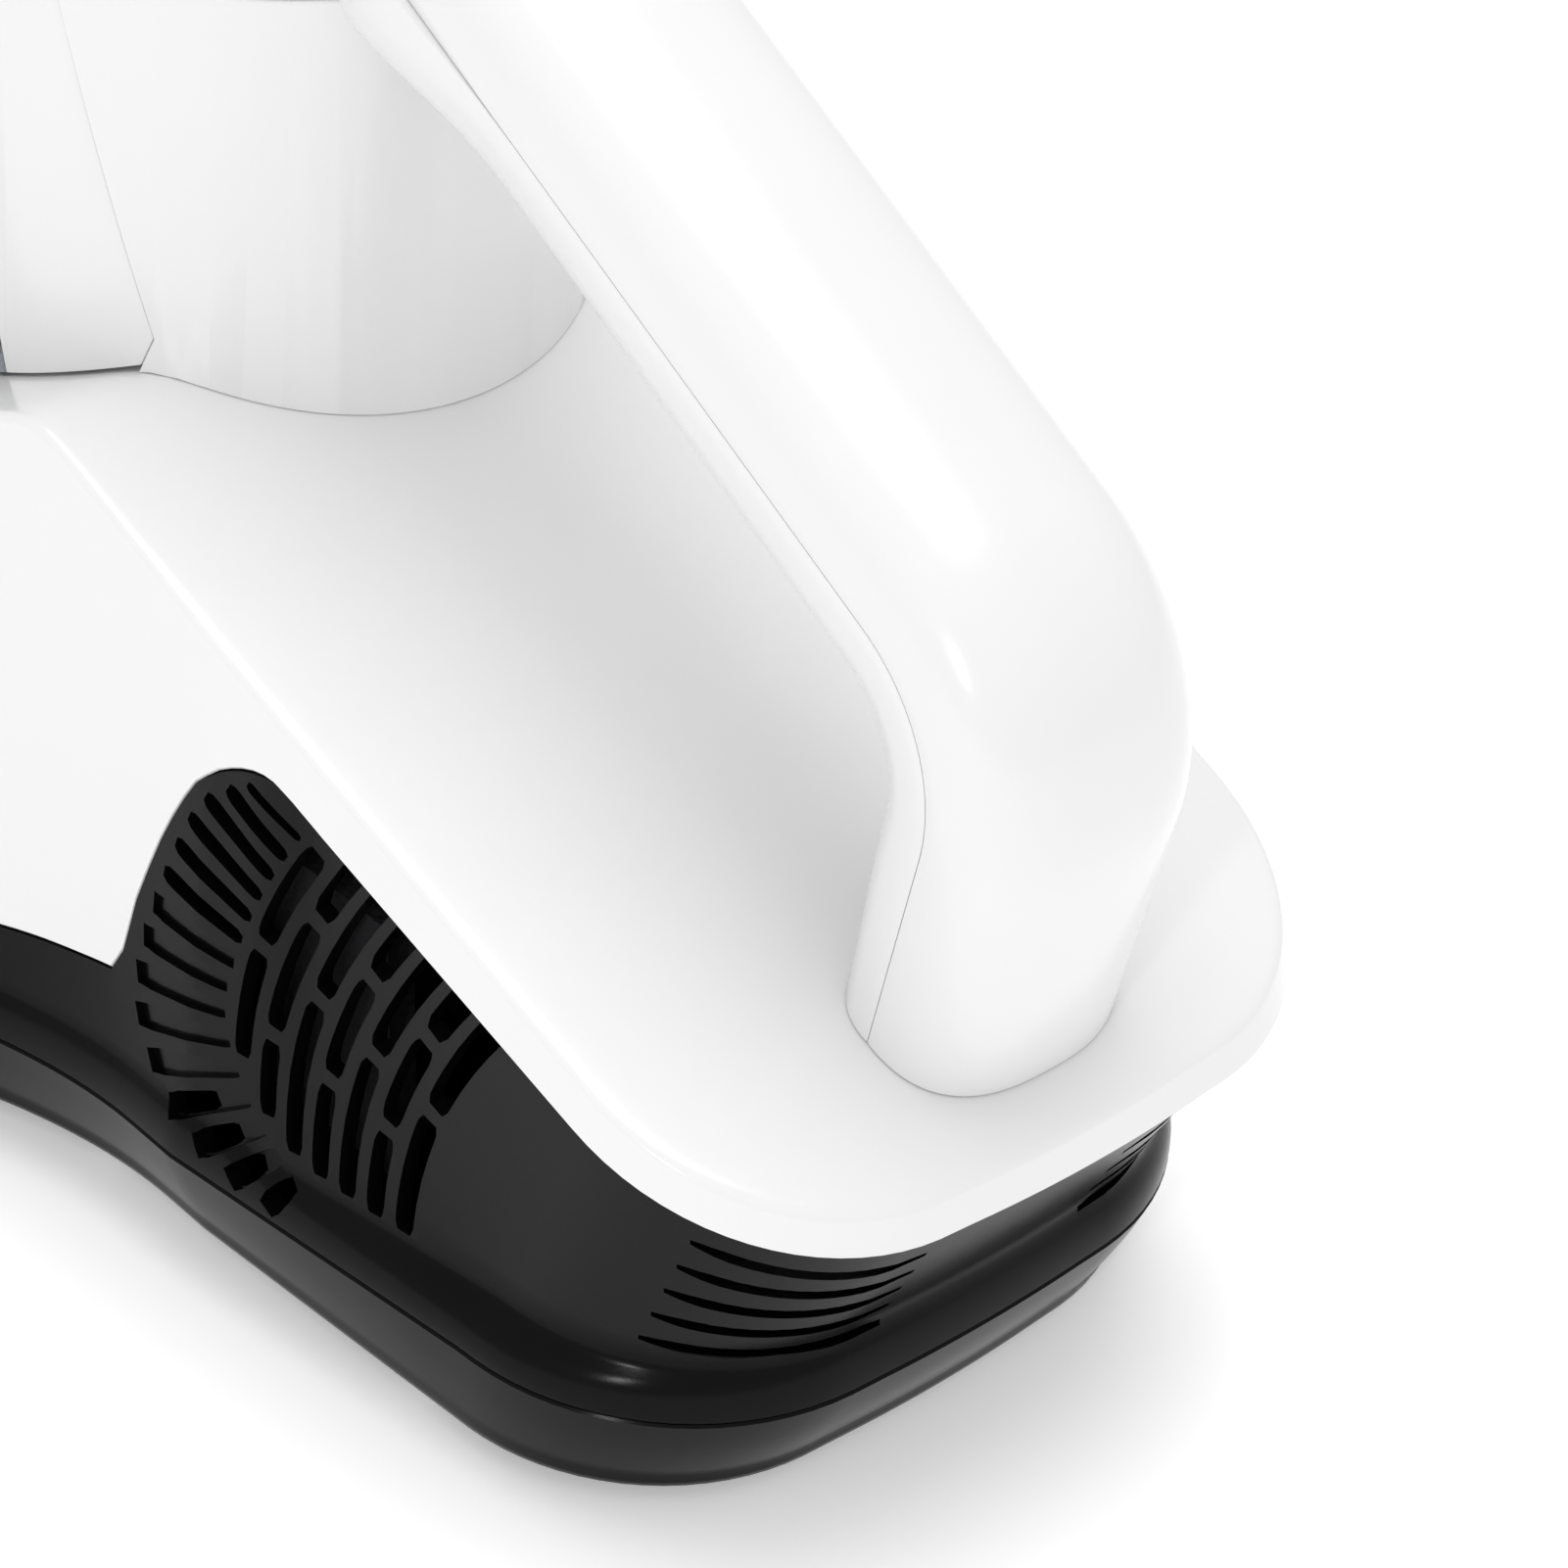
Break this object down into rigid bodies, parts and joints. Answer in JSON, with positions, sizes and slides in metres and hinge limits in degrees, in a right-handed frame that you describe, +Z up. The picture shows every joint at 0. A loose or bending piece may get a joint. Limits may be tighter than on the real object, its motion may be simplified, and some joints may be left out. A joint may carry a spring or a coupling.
{
  "type": "handheld mattress vacuum cleaner",
  "caption": "Handheld mattress vacuum with a loop handle, pull-off dust cup on a barrel, vented tail and a wide head with a spinning brush roller and lamp.",
  "frame": {"origin": "middle of the bounding box's bottom face, on the surface that the wheels stand on", "axes": "-Y towards the brush head, +Y towards the tail and the foot of the handle, +Z up"},
  "size_m": [0.24, 0.39, 0.1952],
  "materials": {
    "white_gloss": "glossy moulded ABS",
    "black_satin": "fine-grained satin moulding",
    "dark_window": "polished",
    "grey_plastic": "satin",
    "soft_rubber": "matte",
    "steel": "plain",
    "bronze": "sintered",
    "cell_wrap": "shrink wrap",
    "circuit_board": "solder mask",
    "foam": "open-cell foam",
    "bristle": "nylon tufts",
    "filter_paper": "pleated paper",
    "smoked_clear": "smoked transparent plastic",
    "lamp_glass": "clear quartz"
  },
  "bodies": {
    "root": {"top_cover": "white_gloss", "handle_upper": "white_gloss", "handle_lower": "white_gloss", "handle_cap": "white_gloss", "barrel_housing": "white_gloss", "base_housing": "black_satin", "bottom_plate": "black_satin", "exhaust_filters": "foam", "display_window": "dark_window", "latch_plate": "steel", "fan_motor": "steel", "motor_mounts": "soft_rubber", "fan_shroud": "black_satin", "clean_air_duct": "black_satin", "outlet_seal": "soft_rubber", "battery_cells": "cell_wrap", "battery_holder": "black_satin", "control_board": "circuit_board", "charging_jack": "black_satin", "suction_duct": "black_satin", "inlet_seal": "soft_rubber", "brush_chamber": "black_satin", "brush_bushes": "bronze", "brush_motor": "steel", "drive_belt": "soft_rubber", "uv_lamp": "lamp_glass", "lamp_sockets": "grey_plastic", "uv_reflector": "steel", "uv_window": "lamp_glass", "plate_screws": "steel", "wheel_pins": "steel"},
    "dust_cup": {"cup_collar": "white_gloss", "cup_bowl": "smoked_clear", "cup_inlet_tube": "smoked_clear", "filter_frame": "grey_plastic", "filter_pleats": "filter_paper", "filter_mesh": "steel", "latch_tongue": "steel"},
    "release": {"release_button": "grey_plastic"},
    "power": {"power_button": "grey_plastic"},
    "mode": {"mode_button": "grey_plastic"},
    "roller": {"brush_core": "black_satin", "brush_bristles": "bristle", "brush_pulley": "grey_plastic"},
    "drive": {"motor_pulley": "grey_plastic", "motor_rotor": "steel"},
    "fan": {"impeller": "grey_plastic"},
    "rear_left": {"wheel_rear_left": "soft_rubber"},
    "rear_right": {"wheel_rear_right": "soft_rubber"},
    "front_left": {"wheel_front_left": "soft_rubber"},
    "front_right": {"wheel_front_right": "soft_rubber"},
    "plunger": {"contact_plunger": "grey_plastic"}
  },
  "joints": [
    {"name": "cup_slide", "type": "slide", "parent": "root", "child": "dust_cup", "axis": [0, -0.9646, -0.2639], "range_m": [0, 0.045]},
    {"name": "release_press", "type": "slide", "parent": "dust_cup", "child": "release", "axis": [0, 0, -1], "range_m": [0, 0.0018], "stiffness_N_per_m": 400, "springref_m": -0.002},
    {"name": "power_press", "type": "slide", "parent": "root", "child": "power", "axis": [0, 0, -1], "range_m": [0, 0.001], "stiffness_N_per_m": 400, "springref_m": -0.002},
    {"name": "mode_press", "type": "slide", "parent": "root", "child": "mode", "axis": [0, 0, -1], "range_m": [0, 0.001], "stiffness_N_per_m": 400, "springref_m": -0.002},
    {"name": "brush_spin", "type": "hinge", "parent": "root", "child": "roller", "pos_m": [0, -0.157, 0.019], "axis": [1, 0, 0], "continuous": true},
    {"name": "motor_pulley_spin", "type": "hinge", "parent": "root", "child": "drive", "pos_m": [0, -0.101, 0.022], "axis": [1, 0, 0], "continuous": true},
    {"name": "impeller_spin", "type": "hinge", "parent": "root", "child": "fan", "pos_m": [0, 0.095, 0.044], "axis": [0, 1, 0], "continuous": true},
    {"name": "rear_left_spin", "type": "hinge", "parent": "root", "child": "rear_left", "pos_m": [0.04, 0.145, 0.009], "axis": [1, 0, 0], "continuous": true},
    {"name": "rear_right_spin", "type": "hinge", "parent": "root", "child": "rear_right", "pos_m": [-0.04, 0.145, 0.009], "axis": [1, 0, 0], "continuous": true},
    {"name": "front_left_spin", "type": "hinge", "parent": "root", "child": "front_left", "pos_m": [0.084, -0.124, 0.009], "axis": [1, 0, 0], "continuous": true},
    {"name": "front_right_spin", "type": "hinge", "parent": "root", "child": "front_right", "pos_m": [-0.084, -0.124, 0.009], "axis": [1, 0, 0], "continuous": true},
    {"name": "plunger_press", "type": "slide", "parent": "root", "child": "plunger", "axis": [0, 0, 1], "range_m": [0, 0.002], "stiffness_N_per_m": 200, "springref_m": -0.002}
  ],
  "couplings": [
    {"joint": "motor_pulley_spin", "follows": "brush_spin", "ratio": 2}
  ]
}
